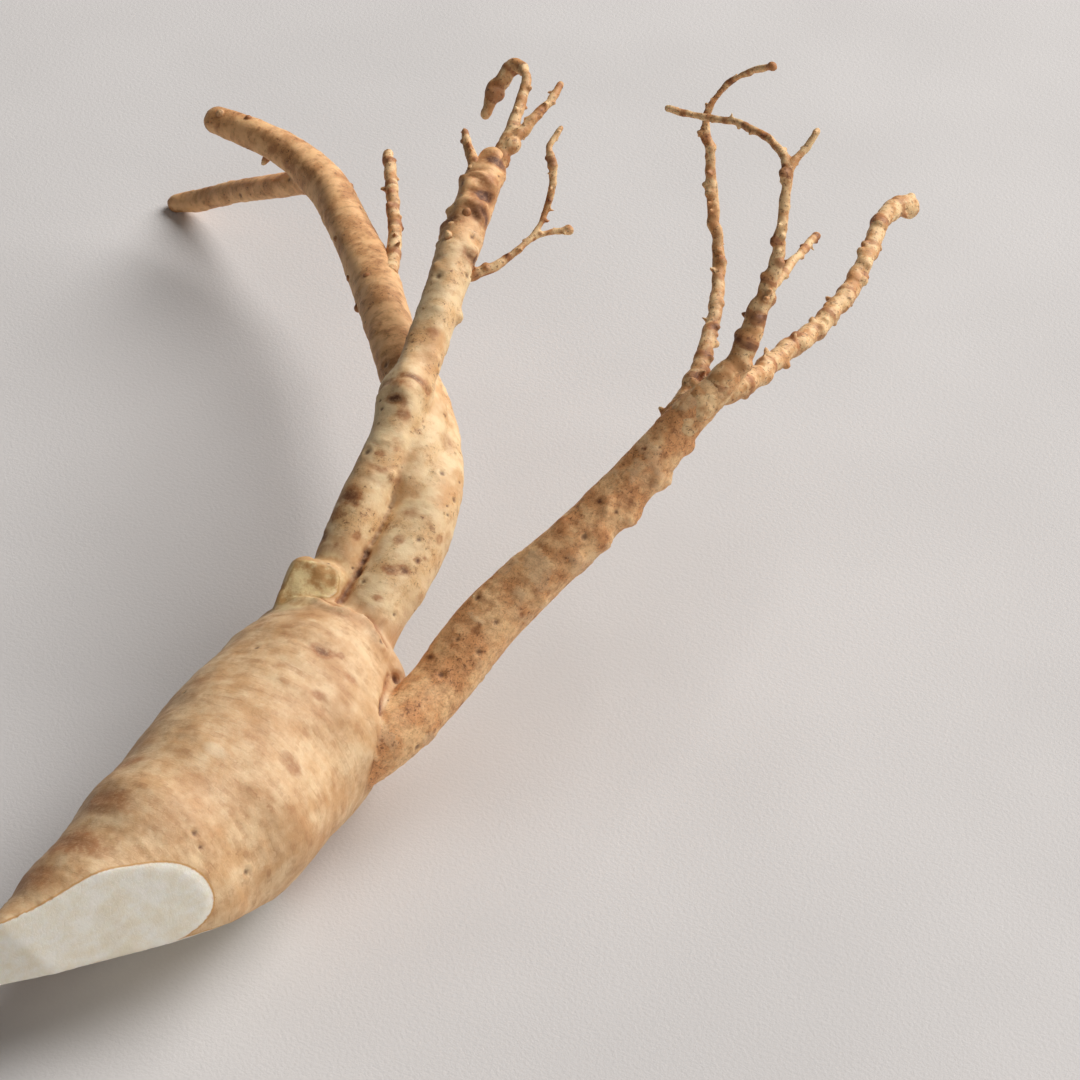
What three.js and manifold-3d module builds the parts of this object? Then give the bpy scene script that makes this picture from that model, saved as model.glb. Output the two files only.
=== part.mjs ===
// A whole root of horseradish: a stout body with a slanting knife cut at its front end, a lipped
// crown at its back end, and side roots that rise and spread behind the crown. It is one solid,
// grown as one piece. Millimetres, +Z up. The origin is in the middle of the flat spot that the
// body rests on, +Y runs along the body from the cut end to the crown and +X is to the right.

import * as THREE from 'three';
import { mergeVertices } from 'three/addons/utils/BufferGeometryUtils.js';
import Module from 'manifold-3d';

// Mesh fineness: sides round a limb, and rows of facets along it.
const BODY_SIDES = 30;
const BODY_SPACING = 3.8;
const BODY_CAP_ROWS = 3;
const LIMB_CAP_ROWS = 2;

// How uneven the skin is, as a share of the radius.
const BODY_UNEVEN = 0.028;
const LIMB_UNEVEN = 0.05;
const STUB_UNEVEN = 0.03;

// Seed of every random draw.
const SEED = 4127;

// Each spine is a row of [x, y, z, radius], from the thick end to the thin end.
const BODY = [
  [-7.3, -94, 22.8, 4],
  [-7.2, -80, 21.8, 5.8],
  [-6.6, -64, 20.6, 8.6],
  [-3.9, -48, 19.6, 12.4],
  [-1.2, -32, 18.2, 15.9],
  [-0.2, -16, 17.1, 17.5],
  [0, 0, 17, 17.8],
  [-0.2, 12, 17, 17],
  [-0.8, 22, 17.1, 15.2],
];
const CROWN_CAP = 6;

const STUB = [
  [-5, 15, 22, 4.8],
  [-5.8, 22, 27.5, 5.2],
  [-6.4, 29, 32.2, 5.2],
];
const STUB_CAP = 0.35;

// The two fused side roots above the crown: the left one climbs, the right one bends away left.
const LEFT_ROOT = [
  [-4.6, 18, 20, 4.4],
  [-5.4, 29, 27, 4.4],
  [-5.7, 36.9, 32, 4.3],
  [-6.1, 43, 35.5, 4.3],
  [-6.6, 49.5, 38.5, 4.2],
  [-7.4, 56.8, 42, 4.1],
  [-8.6, 63, 44.8, 4.6],
  [-9.1, 66.3, 46, 4.5],
  [-9.6, 69, 46.7, 3.9],
  [-10.8, 74.6, 48, 3.8],
  [-12.5, 84.2, 51.5, 3.6],
  [-14.7, 93.8, 54.5, 3.8],
  [-16.7, 102.8, 57, 3.8],
  [-18.1, 110.8, 60, 3.5],
  [-18.9, 116, 61.5, 3],
];
const RIGHT_ROOT = [
  [4.5, 17, 19, 6],
  [3.2, 29, 25, 6],
  [3.6, 37.8, 29, 6.2],
  [2.4, 47.6, 31.5, 6.5],
  [0.1, 57, 34, 6],
  [-3.6, 64.9, 36, 5.1],
  [-10.2, 72.8, 37, 4.8],
  [-19.4, 82.6, 36, 4.8],
  [-29.8, 95.4, 34, 4.7],
  [-41.6, 110.2, 31.5, 4.6],
  [-53.2, 122.8, 30, 4.3],
  [-63.6, 132.4, 30, 4],
  [-73, 137.2, 30.5, 3.6],
  [-81.7, 139, 31, 3.2],
  [-92.8, 140.7, 30.5, 2.8],
];
const LOW_FORK = [
  [-58, 128, 29.5, 2.8],
  [-67.2, 135.6, 27.5, 2.8],
  [-76.6, 138, 22, 2.5],
  [-90.6, 143, 12.5, 2.3],
  [-101, 145.5, 5.2, 2.2],
  [-106.5, 146, 2.4, 2],
];
const HIGH_FORK = [
  [-30, 97, 33.5, 2],
  [-34.5, 104.5, 34.5, 1.9],
  [-39, 115.1, 34, 1.6],
  [-45.8, 126.7, 35.5, 1.5],
  [-53.9, 139.8, 37, 1.4],
];

// What fills the valley between the two where they grow as one.
const TRUNK_WEB = [
  [-0.6, 47, 33, 3.2],
  [-1.8, 53, 36, 4.6],
  [-3.8, 59.5, 38.8, 5],
  [-6.4, 66, 41, 4.4],
  [-10, 72, 42.5, 3.4],
];

// The thinner side root at the right of the crown, and its three ends.
const SIDE_ROOT = [
  [8, -2, 14, 4.6],
  [14.5, 6.5, 16.6, 4.9],
  [18, 13.4, 19, 5.1],
  [20.1, 23.1, 22, 5.3],
  [23, 32.7, 28, 5.4],
  [26.5, 40.6, 33, 5.1],
  [30.6, 47.3, 38, 4.8],
  [34.4, 54.5, 43, 4.4],
  [38.4, 61.3, 48.5, 4],
  [43, 70.5, 56.8, 3.3],
  [46.2, 76, 61.2, 2.7],
  [47.9, 80.8, 65.4, 2.2],
  [48, 85.4, 70.2, 1.95],
  [48, 91.6, 76.8, 1.5],
  [46.3, 97.5, 84, 1.2],
  [44, 103.4, 89, 1.2],
  [38.1, 108.2, 89.6, 1],
  [30, 112.5, 87.6, 0.9],
  [22.9, 113.2, 86.2, 0.85],
  [16, 113.4, 85.6, 0.8],
];
const THORN = [
  [22.6, 33.6, 31.4, 1.2],
  [20.6, 34.4, 34.4, 0.7],
];
const INNER_END = [
  [39, 64, 51, 2.4],
  [40.2, 70, 55.2, 2.1],
  [39.9, 79.8, 58, 1.8],
  [36.1, 94.1, 59.5, 1.5],
  [31.5, 105.5, 63.2, 1.4],
  [27.1, 111.1, 71, 1.3],
  [24, 116, 77.8, 1.1],
  [21.6, 118.8, 82.1, 0.9],
  [23.4, 119.3, 87.2, 0.8],
  [27, 120.3, 91.8, 0.75],
  [33.4, 119.2, 96.6, 0.8],
];
const OUTER_END = [
  [45, 73.5, 59.5, 2.2],
  [48.4, 79.8, 59, 2.1],
  [49.8, 93.1, 57, 2],
  [50.7, 106, 54.4, 1.95],
  [51.2, 117.4, 54, 1.9],
  [50.2, 128.5, 54.8, 1.8],
  [48.6, 139.5, 55.6, 1.8],
  [48.4, 148, 54.2, 2],
  [49.6, 152, 51.6, 2.6],
];
const STRAIGHT_TWIG = [
  [48, 86, 71.5, 1],
  [48.2, 97.8, 72.9, 1],
  [47.9, 110.5, 71.4, 0.95],
];
const TOP_FORK = [
  [44.6, 101.5, 88.4, 1.1],
  [45.5, 106.5, 90.5, 1],
  [46.5, 110.5, 93.2, 0.8],
];

// Thin ends at the tip of the left root.
const HOOK = [
  [-17.6, 113, 60.4, 1.9],
  [-17.8, 118.5, 62.6, 1.8],
  [-19.4, 126.6, 66, 1.3],
  [-21.3, 133.4, 68.6, 1.2],
  [-25.3, 136.4, 68, 1.6],
  [-27.1, 133, 64.4, 1.8],
  [-27.3, 128.2, 59.8, 1.2],
];
const PRONG = [
  [-17.8, 113.5, 60.6, 1.7],
  [-16.8, 120.4, 63.7, 1.4],
  [-15.1, 129.1, 66.2, 1.1],
  [-15.2, 136, 67.6, 0.9],
];
const LEFT_BIT = [
  [-18.4, 108.5, 59.4, 1.5],
  [-21, 112.2, 62, 1.4],
  [-24.3, 115.9, 63, 1.1],
  [-25.7, 117.3, 65, 0.8],
];
const FINE_ROOT = [
  [-12.4, 90, 53, 1.3],
  [-8.2, 93.9, 54.1, 1.2],
  [-5, 100.1, 56.2, 0.85],
  [-3.8, 105.4, 58.5, 0.75],
  [-4, 109.9, 63.2, 0.85],
  [-5.1, 112.6, 66.7, 1.05],
  [-6.7, 113.9, 68.9, 0.9],
  [-6.4, 118.6, 71.2, 0.7],
];
const FINE_TWIG = [
  [-4.9, 101.5, 56.6, 0.75],
  [-2, 105.2, 57.3, 0.7],
  [1, 107.2, 57.8, 0.9],
];

// Knobs and scars that stand out of the skin: [x, y, z, radius].
const KNOBS = [
  [-15.1, 88.1, 55.4, 1.6],
  [-9.8, 83.7, 50, 1.9],
  [-12.2, 94.3, 56.2, 1.8],
  [-15.1, 103.1, 59.7, 1.8],
  [-18.7, 98.3, 57.2, 1.4],
  [-18.6, 106.3, 61.2, 1.6],
  [-7.8, 62.1, 48.1, 2.3],
  [-16.8, 118.9, 63.2, 2.4],
  [-5.1, 112.2, 66.7, 1.3],
  [-8.5, 93.8, 54.4, 1.4],
  [1, 107.2, 57.8, 1.3],
  [-27, 132, 63.5, 2.7],
  [36.2, 50.9, 41.2, 2.4],
  [38.5, 56.8, 43.8, 2.6],
  [41, 62.7, 47.9, 2.6],
  [43.1, 68, 52.3, 2.3],
  [34.1, 45.7, 39.5, 1.8],
  [30.8, 39.3, 34.1, 1.6],
  [46.6, 82.5, 67.1, 1.8],
  [48.8, 79.1, 64.1, 2],
  [48.7, 88.1, 72, 1.8],
  [48.7, 91.6, 77.6, 1.2],
  [47.1, 93.5, 80.2, 1.5],
  [44.4, 101.5, 88.4, 1.5],
  [48.5, 84, 70.6, 1.4],
  [32.5, 104.7, 63.5, 1.2],
  [35.9, 97.1, 60.5, 1.2],
  [37.7, 91.6, 59.7, 1.2],
  [40.7, 81.5, 58.1, 1.2],
  [26.6, 111.4, 72.2, 1.4],
  [24.1, 116.2, 78.1, 1.4],
  [33.4, 119.2, 96.6, 1.3],
  [50.9, 98.5, 56.5, 2.3],
  [50.1, 99, 57.2, 1.4],
  [51.6, 105.5, 54.8, 2.2],
  [51.9, 116.8, 54.8, 1.9],
  [50.9, 127, 55.6, 1.8],
  [48.8, 138.3, 56.4, 2.2],
];
const FINE_KNOB = 1.8;

// How far the skin is flattened underneath where the body rests.
const REST_DEPTH = 1;
// Knife cuts: a point on each cut and the way that the cut faces.
const CUTS = {
  slant: { point: [4.9, -52.2, 17.1], facing: [0.73, -0.574, 0.37] },
  under: { point: [4.9, -52.2, 17.1], facing: [0.419, -0.377, -0.826] },
  tip: { point: [-2.9, -61.9, 17.5], facing: [0.6, -0.77, 0.21] },
  stub: { point: [-5.4, 24.8, 31.6], facing: [0.3, -0.62, 0.72] },
  rest: { point: [0, 0, REST_DEPTH], facing: [0, 0, -1] },
};
const CUT_BLOCK = 300;

// Repeatable random numbers from 0 to 1.
function draws(seed) {
  let state = seed >>> 0;
  return () => {
    state = (Math.imul(state, 1664525) + 1013904223) >>> 0;
    return state / 4294967296;
  };
}

// Smooth unevenness round and along a limb, about -1 to 1.
function unevenness(random) {
  const waves = [];
  for (let i = 0; i < 7; i += 1) {
    waves.push({
      round: 1 + Math.floor(random() * 4),
      along: (random() - 0.5) * 0.5,
      phase: random() * Math.PI * 2,
      size: 0.25 + random() * 0.25,
    });
  }
  return (angle, length) => waves.reduce(
    (sum, w) => sum + w.size * Math.sin(w.round * angle + w.along * length + w.phase),
    0,
  );
}

// A limb is a lathed tube with closed round ends, bent along its spine.
function limb(spine, { sides, spacing, uneven, seed, capRows = LIMB_CAP_ROWS, endCap = 1 }) {
  const curve = new THREE.CatmullRomCurve3(
    spine.map(([x, y, z]) => new THREE.Vector3(x, y, z)),
    false,
    'centripetal',
  );
  const bump = unevenness(draws(SEED + seed));
  const length = curve.getLength();
  const steps = Math.max(4, Math.round(length / spacing));
  const last = spine.length - 1;
  const radiusAt = (t) => {
    const place = Math.min(Math.max(t, 0), 1) * last;
    const i = Math.min(Math.floor(place), last - 1);
    const mix = THREE.MathUtils.smoothstep(place - i, 0, 1);
    return THREE.MathUtils.lerp(spine[i][3], spine[i + 1][3], mix);
  };

  // Rows: a round cap, the length of the limb, a round cap.
  const rows = [];
  const turn = Math.PI / 2;
  for (let i = 0; i < capRows; i += 1) {
    const a = (i / capRows) * turn;
    rows.push({ t: 0, push: -Math.cos(a), wide: Math.sin(a), cap: 1 });
  }
  for (let i = 0; i <= steps; i += 1) {
    rows.push({ t: i / steps, push: 0, wide: 1, cap: 1 });
  }
  for (let i = capRows - 1; i >= 0; i -= 1) {
    const a = (i / capRows) * turn;
    rows.push({ t: 1, push: Math.cos(a), wide: Math.sin(a), cap: endCap });
  }

  const profile = rows.map((row, i) => new THREE.Vector2(row.wide === 0 ? 0 : 1, i));
  let tube = new THREE.LatheGeometry(profile, sides);
  tube.deleteAttribute('normal');
  tube.deleteAttribute('uv');
  tube = mergeVertices(tube);

  // Frames carried along the spine without twist.
  const frames = [];
  let side = new THREE.Vector3(1, 0, 0);
  for (const row of rows) {
    const tangent = curve.getTangent(row.t).normalize();
    side = side.clone().addScaledVector(tangent, -side.dot(tangent)).normalize();
    frames.push({
      centre: curve.getPoint(row.t),
      tangent,
      side,
      up: new THREE.Vector3().crossVectors(tangent, side),
      radius: radiusAt(row.t),
    });
  }

  const position = tube.getAttribute('position');
  const v = new THREE.Vector3();
  for (let i = 0; i < position.count; i += 1) {
    v.fromBufferAttribute(position, i);
    const row = rows[Math.round(v.y)];
    const frame = frames[Math.round(v.y)];
    const angle = Math.atan2(v.z, v.x);
    const bulge = 1 + uneven * bump(angle, row.t * length);
    const out = frame.radius * row.wide * bulge;
    const p = frame.centre.clone();
    p.addScaledVector(frame.tangent, row.push * frame.radius * row.cap);
    if (row.wide > 0) {
      p.addScaledVector(frame.side, Math.cos(angle) * out);
      p.addScaledVector(frame.up, Math.sin(angle) * out);
    }
    position.setXYZ(i, p.x, p.y, p.z);
  }
  return tube;
}

const wasm = await Module();
wasm.setup();

// Closed solid from a geometry, with triangles that have no area left out.
function solidOf(geometry) {
  const bare = geometry.clone();
  bare.deleteAttribute('normal');
  bare.deleteAttribute('uv');
  const merged = mergeVertices(bare);
  const points = merged.getAttribute('position').array;
  const index = merged.getIndex().array;
  let triangles = [];
  let volume = 0;
  for (let i = 0; i < index.length; i += 3) {
    const [a, b, c] = [index[i], index[i + 1], index[i + 2]];
    if (a === b || b === c || a === c) {
      continue;
    }
    triangles.push(a, b, c);
    const p = new THREE.Vector3().fromArray(points, a * 3);
    const q = new THREE.Vector3().fromArray(points, b * 3);
    const r = new THREE.Vector3().fromArray(points, c * 3);
    volume += p.dot(q.cross(r));
  }
  if (volume < 0) {
    triangles = triangles.reverse();
  }
  return new wasm.Manifold(new wasm.Mesh({
    numProp: 3,
    vertProperties: new Float32Array(points),
    triVerts: new Uint32Array(triangles),
  }));
}

// Takes away everything on the far side of a flat knife cut.
function cutOff(solid, { point, facing }) {
  const block = new THREE.BoxGeometry(CUT_BLOCK, CUT_BLOCK, CUT_BLOCK);
  const way = new THREE.Vector3(...facing).normalize();
  block.translate(0, 0, CUT_BLOCK / 2);
  block.applyQuaternion(
    new THREE.Quaternion().setFromUnitVectors(new THREE.Vector3(0, 0, 1), way),
  );
  block.translate(...point);
  return solid.subtract(solidOf(block));
}

// The body and its front cuts.
const bodyTube = limb(BODY, {
  sides: BODY_SIDES,
  spacing: BODY_SPACING,
  uneven: BODY_UNEVEN,
  seed: 1,
  capRows: BODY_CAP_ROWS,
  endCap: CROWN_CAP / BODY[BODY.length - 1][3],
});
let whole = solidOf(bodyTube);
whole = cutOff(whole, CUTS.slant);
whole = cutOff(whole, CUTS.under);
whole = cutOff(whole, CUTS.tip);

// The stub with its knife cut.
const stubTube = limb(STUB, {
  sides: 14,
  spacing: 4,
  uneven: STUB_UNEVEN,
  seed: 2,
  endCap: STUB_CAP,
});
whole = whole.add(cutOff(solidOf(stubTube), CUTS.stub));

// The side roots and their ends: spine, sides and row spacing.
const limbs = [
  [LEFT_ROOT, 12, 3.9],
  [RIGHT_ROOT, 12, 4.4],
  [TRUNK_WEB, 10, 4],
  [LOW_FORK, 8, 3.8],
  [HIGH_FORK, 6, 3.6],
  [SIDE_ROOT, 10, 3.3],
  [THORN, 6, 2],
  [INNER_END, 6, 3],
  [OUTER_END, 7, 3.4],
  [STRAIGHT_TWIG, 6, 4],
  [TOP_FORK, 6, 2.4],
  [HOOK, 8, 2.2],
  [PRONG, 6, 3],
  [LEFT_BIT, 6, 2.2],
  [FINE_ROOT, 6, 2.2],
  [FINE_TWIG, 6, 2.2],
];
limbs.forEach(([spine, sides, spacing], i) => {
  const tube = limb(spine, { sides, spacing, uneven: LIMB_UNEVEN, seed: i + 3 });
  whole = whole.add(solidOf(tube));
});
for (const [x, y, z, radius] of KNOBS) {
  const knob = new THREE.IcosahedronGeometry(radius, radius > FINE_KNOB ? 1 : 0);
  knob.translate(x, y, z);
  whole = whole.add(solidOf(knob));
}
whole = cutOff(whole, CUTS.rest);

const mesh = whole.getMesh();
const geometry = new THREE.BufferGeometry();
geometry.setAttribute('position', new THREE.BufferAttribute(mesh.vertProperties, 3));
geometry.setIndex(new THREE.BufferAttribute(mesh.triVerts, 1));
geometry.translate(0, 0, -REST_DEPTH);
geometry.computeVertexNormals();

const skin = new THREE.MeshStandardMaterial({ color: 0xcfa877, roughness: 0.72, metalness: 0 });
const root = new THREE.Mesh(geometry, skin);
root.name = 'horseradish_root';

const group = new THREE.Group();
group.add(root);

export default group;
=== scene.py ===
"""A horseradish root on pale paper, in metres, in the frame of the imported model."""

import math

import bmesh
import bpy
import numpy as np
from mathutils import Matrix, Vector
from mathutils.kdtree import KDTree


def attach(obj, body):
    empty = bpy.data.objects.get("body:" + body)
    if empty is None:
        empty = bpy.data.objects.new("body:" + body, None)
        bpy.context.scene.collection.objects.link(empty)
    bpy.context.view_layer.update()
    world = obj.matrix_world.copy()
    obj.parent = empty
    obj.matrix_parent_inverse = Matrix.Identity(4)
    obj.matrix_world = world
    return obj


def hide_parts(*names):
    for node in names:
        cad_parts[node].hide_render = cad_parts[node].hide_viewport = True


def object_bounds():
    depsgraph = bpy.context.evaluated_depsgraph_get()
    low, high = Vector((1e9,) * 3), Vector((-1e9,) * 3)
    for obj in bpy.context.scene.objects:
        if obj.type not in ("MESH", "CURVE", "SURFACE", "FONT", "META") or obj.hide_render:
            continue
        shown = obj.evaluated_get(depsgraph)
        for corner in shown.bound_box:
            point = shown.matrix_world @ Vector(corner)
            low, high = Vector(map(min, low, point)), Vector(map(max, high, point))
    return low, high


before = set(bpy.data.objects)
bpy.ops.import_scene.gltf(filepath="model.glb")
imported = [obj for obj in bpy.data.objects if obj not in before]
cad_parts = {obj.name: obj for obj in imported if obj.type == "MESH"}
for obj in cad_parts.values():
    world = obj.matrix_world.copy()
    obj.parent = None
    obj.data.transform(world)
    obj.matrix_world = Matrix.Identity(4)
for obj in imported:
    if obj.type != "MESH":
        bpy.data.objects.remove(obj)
cad_box = [list(map(float, corner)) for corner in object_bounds()]

MM = 0.001
NODE = "horseradish_root"
SEED = 4127
# The spines stand this much above the surface that the flattened underside rests on.
REST_DEPTH = 1

# Spines in millimetres, [x, y, z, radius], from the thick end to the thin end.
BODY = [
    [-7.3, -94, 22.8, 4], [-7.2, -80, 21.8, 5.8], [-6.6, -64, 20.6, 8.6],
    [-3.9, -48, 19.6, 12.4], [-1.2, -32, 18.2, 15.9], [-0.2, -16, 17.1, 17.5],
    [0, 0, 17, 17.8], [-0.2, 12, 17, 17], [-0.8, 22, 17.1, 15.2],
]
STUB = [
    [-5, 15, 22, 4.8], [-5.8, 22, 27.5, 5.2], [-6.4, 29, 32.2, 5.2],
]
LEFT_ROOT = [
    [-4.6, 18, 20, 4.4], [-5.4, 29, 27, 4.4], [-5.7, 36.9, 32, 4.3],
    [-6.1, 43, 35.5, 4.3], [-6.6, 49.5, 38.5, 4.2], [-7.4, 56.8, 42, 4.1],
    [-8.6, 63, 44.8, 4.6], [-9.1, 66.3, 46, 4.5], [-9.6, 69, 46.7, 3.9],
    [-10.8, 74.6, 48, 3.8], [-12.5, 84.2, 51.5, 3.6], [-14.7, 93.8, 54.5, 3.8],
    [-16.7, 102.8, 57, 3.8], [-18.1, 110.8, 60, 3.4], [-18.7, 115.4, 61.5, 2.5],
]
RIGHT_ROOT = [
    [4.5, 17, 19, 6], [3.2, 29, 25, 6], [3.6, 37.8, 29, 6.2], [2.4, 47.6, 31.5, 6.5],
    [0.1, 57, 34, 6], [-3.6, 64.9, 36, 5.1], [-10.2, 72.8, 37, 4.8],
    [-19.4, 82.6, 36, 4.8], [-29.8, 95.4, 34, 4.7], [-41.6, 110.2, 31.5, 4.6],
    [-53.2, 122.8, 30, 4.3], [-63.6, 132.4, 30, 4], [-73, 137.2, 30.5, 3.6],
    [-81.7, 139, 31, 3.2], [-92.8, 140.7, 30.5, 2.8],
]
TRUNK_WEB = [
    [-0.6, 47, 33, 3.2], [-1.8, 53, 36, 4.6], [-3.8, 59.5, 38.8, 5],
    [-6.4, 66, 41, 4.4], [-10, 72, 42.5, 3.4],
]
LOW_FORK = [
    [-58, 128, 29.5, 2.8], [-67.2, 135.6, 27.5, 2.8], [-76.6, 138, 22, 2.5],
    [-90.6, 143, 12.5, 2.3], [-101, 145.5, 5.2, 2.2], [-106.5, 146, 2.4, 2],
]
HIGH_FORK = [
    [-30, 97, 33.5, 2], [-34.5, 104.5, 34.5, 1.9], [-39, 115.1, 34, 1.6],
    [-45.8, 126.7, 35.5, 1.5], [-53.9, 139.8, 37, 1.4],
]
SIDE_ROOT = [
    [8, -2, 14, 4.6], [14.5, 6.5, 16.6, 4.9], [18, 13.4, 19, 5.1],
    [20.1, 23.1, 22, 5.3], [23, 32.7, 28, 5.4], [26.5, 40.6, 33, 5.1],
    [30.6, 47.3, 38, 4.8], [34.4, 54.5, 43, 4.4], [38.4, 61.3, 48.5, 4],
    [43, 70.5, 56.8, 3.3], [46.2, 76, 61.2, 2.7], [47.9, 80.8, 65.4, 2.2],
    [48, 85.4, 70.2, 1.95], [48, 91.6, 76.8, 1.5], [46.3, 97.5, 84, 1.2],
    [44, 103.4, 89, 1.2], [38.1, 108.2, 89.6, 1], [30, 112.5, 87.6, 0.9],
    [22.9, 113.2, 86.2, 0.85], [16, 113.4, 85.6, 0.8],
]
THORN = [[22.6, 33.6, 31.4, 1.2], [20.6, 34.4, 34.4, 0.7]]
INNER_END = [
    [39, 64, 51, 2.4], [40.2, 70, 55.2, 2.1], [39.9, 79.8, 58, 1.8],
    [36.1, 94.1, 59.5, 1.5], [31.5, 105.5, 63.2, 1.4], [27.1, 111.1, 71, 1.3],
    [24, 116, 77.8, 1.1], [21.6, 118.8, 82.1, 0.9], [23.4, 119.3, 87.2, 0.8],
    [27, 120.3, 91.8, 0.75], [33.4, 119.2, 96.6, 0.8],
]
OUTER_END = [
    [45, 73.5, 59.5, 2.2], [48.4, 79.8, 59, 2.1], [49.8, 93.1, 57, 2],
    [50.7, 106, 54.4, 1.95], [51.2, 117.4, 54, 1.9], [50.2, 128.5, 54.8, 1.8],
    [48.6, 139.5, 55.6, 1.8], [48.4, 148, 54.2, 2], [49.6, 152, 51.6, 2.6],
]
STRAIGHT_TWIG = [[48, 86, 71.5, 1], [48.2, 97.8, 72.9, 1], [47.9, 110.5, 71.4, 0.95]]
TOP_FORK = [[44.6, 101.5, 88.4, 1.1], [45.5, 106.5, 90.5, 1], [46.5, 110.5, 93.2, 0.8]]
HOOK = [
    [-17.6, 113, 60.4, 1.9], [-17.8, 118.5, 62.6, 1.8], [-19.4, 126.6, 66, 1.3],
    [-21.3, 133.4, 68.6, 1.2], [-25.3, 136.4, 68, 1.6], [-27.1, 133, 64.4, 1.8],
    [-27.3, 128.2, 59.8, 1.2],
]
PRONG = [
    [-17.8, 113.5, 60.6, 1.7], [-16.8, 120.4, 63.7, 1.4], [-15.1, 129.1, 66.2, 1.1],
    [-15.2, 136, 67.6, 0.9],
]
LEFT_BIT = [
    [-18.4, 108.5, 59.4, 1.5], [-21, 112.2, 62, 1.4], [-24.3, 115.9, 63, 1.1],
    [-25.7, 117.3, 65, 0.8],
]
FINE_ROOT = [
    [-12.4, 90, 53, 1.3], [-8.2, 93.9, 54.1, 1.2], [-5, 100.1, 56.2, 0.85],
    [-3.8, 105.4, 58.5, 0.75], [-4, 109.9, 63.2, 0.85], [-5.1, 112.6, 66.7, 1.05],
    [-6.7, 113.9, 68.9, 0.9], [-6.4, 118.6, 71.2, 0.7],
]
FINE_TWIG = [[-4.9, 101.5, 56.6, 0.75], [-2, 105.2, 57.3, 0.7], [1, 107.2, 57.8, 0.9]]
SPUR = [[24, 116, 77.8, 0.9], [22.6, 116.4, 79.3, 0.7], [20.9, 116.9, 80.4, 0.6]]

# Knobs that stand out of the skin, [x, y, z, radius].
KNOBS = [
    [-15.1, 88.1, 55.4, 1.6], [-9.8, 83.7, 50, 1.9], [-12.2, 94.3, 56.2, 1.8],
    [-15.1, 103.1, 59.7, 1.8], [-18.7, 98.3, 57.2, 1.4], [-18.6, 106.3, 61.2, 1.6],
    [-7.8, 62.1, 48.1, 2.3], [36.2, 50.9, 41.2, 2.4], [38.5, 56.8, 43.8, 2.6],
    [41, 62.7, 47.9, 2.6], [43.1, 68, 52.3, 2.3], [34.1, 45.7, 39.5, 1.8],
    [30.8, 39.3, 34.1, 1.6],
]

# Knife cuts: a point on each cut and the way that the cut faces.
CUTS = {
    "slant": ([4.9, -52.2, 17.1], [0.73, -0.574, 0.37]),
    "under": ([4.9, -52.2, 17.1], [0.419, -0.377, -0.826]),
    "tip": ([-2.9, -61.9, 17.5], [0.6, -0.77, 0.21]),
    "stub": ([-5.4, 24.8, 31.6], [0.3, -0.62, 0.72]),
}

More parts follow.
